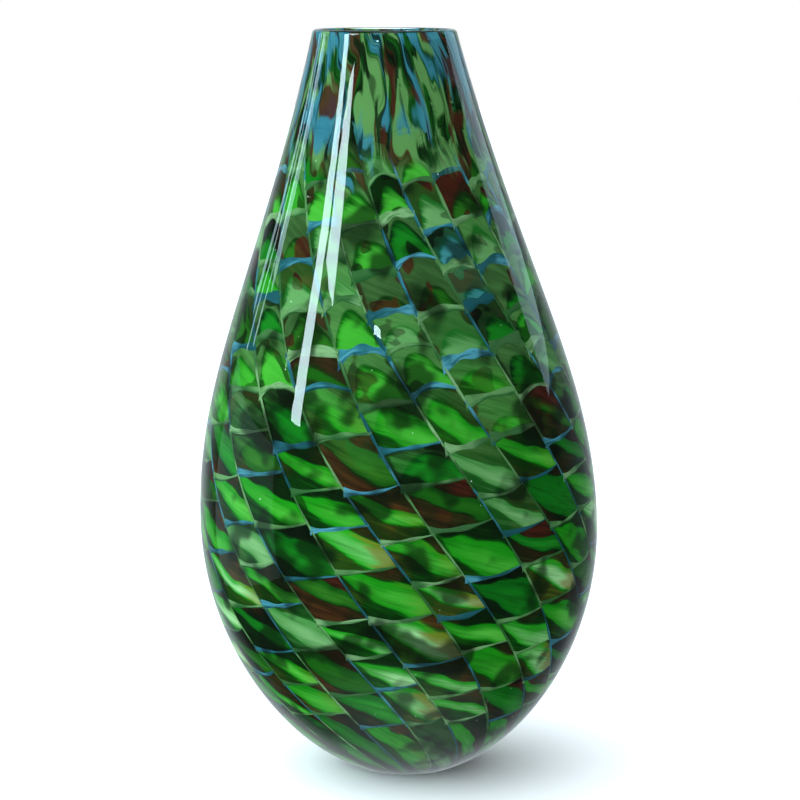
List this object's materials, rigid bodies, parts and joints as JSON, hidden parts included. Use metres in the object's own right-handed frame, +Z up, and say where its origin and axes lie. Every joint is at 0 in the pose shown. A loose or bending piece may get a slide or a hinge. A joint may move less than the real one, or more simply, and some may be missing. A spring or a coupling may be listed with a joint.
{
  "type": "art glass vase",
  "caption": "Tall teardrop blown glass vase with a leaning conical neck, a spiral mosaic of green, sage, teal and brown chips cased in clear glass, and a small flat foot.",
  "frame": {"origin": "centre of the flat ground foot, on the surface that the vase stands on", "axes": "+Z up, -Y towards the viewer, the neck leans to -X"},
  "size_m": [0.1899, 0.19, 0.3528],
  "materials": {
    "clear_casing": "fire polished clear glass",
    "clear_core": "clear glass with a faint green cast",
    "green_ground": "deep green transparent glass",
    "bright_green": "bright green glass with streaks",
    "dark_green": "dark green glass",
    "oxblood": "opaque brown-red glass",
    "sage": "opaline grey-green glass",
    "teal": "opaline blue-green glass",
    "amber": "pale green glass shading to amber",
    "sage_thread": "opaline celadon glass thread",
    "blue_thread": "opaline blue glass thread"
  },
  "bodies": {
    "root": {"core_gather": "clear_core", "green_ground": "green_ground", "bright_green_chips": "bright_green", "dark_green_chips": "dark_green", "oxblood_chips": "oxblood", "sage_chips": "sage", "teal_chips": "teal", "amber_chips": "amber", "sage_seam_threads": "sage_thread", "blue_seam_threads": "blue_thread", "sage_wrap_threads": "sage_thread", "blue_wrap_threads": "blue_thread", "outer_casing": "clear_casing"}
  },
  "joints": []
}
